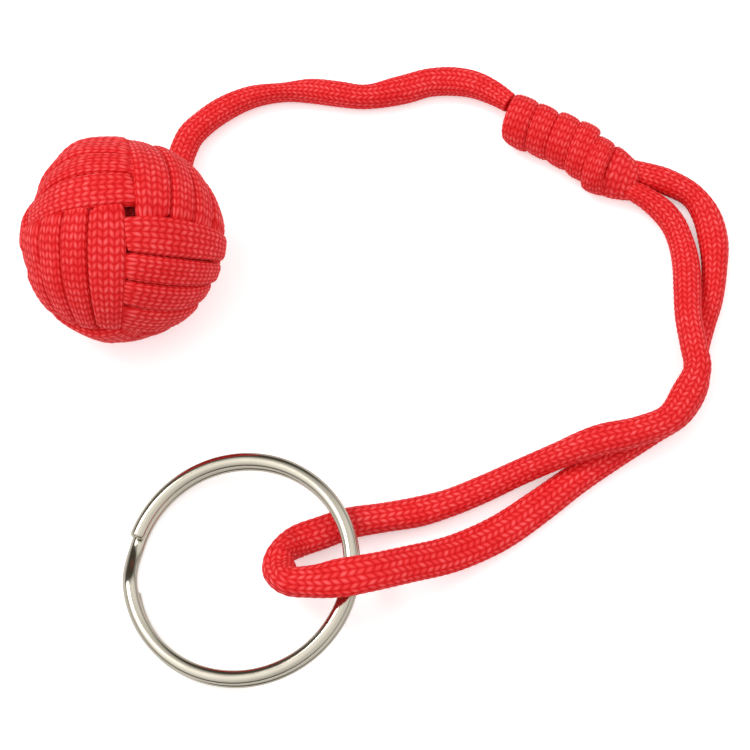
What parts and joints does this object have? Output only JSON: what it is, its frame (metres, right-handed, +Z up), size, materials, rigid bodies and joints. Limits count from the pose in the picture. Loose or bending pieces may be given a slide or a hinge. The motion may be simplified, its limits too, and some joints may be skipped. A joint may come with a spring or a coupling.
{
  "type": "paracord keychain",
  "caption": "Keychain of braided cord: a ball knot tied over a steel core, a lead with a wrapped knot, and a doubled loop that holds a flat split key ring.",
  "frame": {"origin": "on the surface that the keychain lies on, below the middle of the pieces that are not free cord", "axes": "+Z up from the surface; +X from the ball towards the wrapped knot; +Y from the key ring towards the ball and the knot"},
  "size_m": [0.0973, 0.0904, 0.0271],
  "materials": {
    "steel": "plain ground steel ball, hidden under the cord",
    "red_paracord": "woven nylon sheath, bright red, slight sheen",
    "nickel": "nickel-plated steel wire, smooth and bright"
  },
  "bodies": {
    "keychain": {"core_ball": "steel", "fist_winding": "red_paracord", "lead_cord": "red_paracord", "knot_wraps": "red_paracord", "knot_standing_strand": "red_paracord", "knot_tail_strand": "red_paracord", "loop_cord": "red_paracord"},
    "ring": {"split_ring": "nickel"}
  },
  "joints": [
    {"name": "ring_turn", "type": "hinge", "parent": "keychain", "child": "ring", "pos_m": [-0.01424, -0.02773, 0.0041], "axis": [-0.1736, 0, 0.9848], "continuous": true}
  ]
}
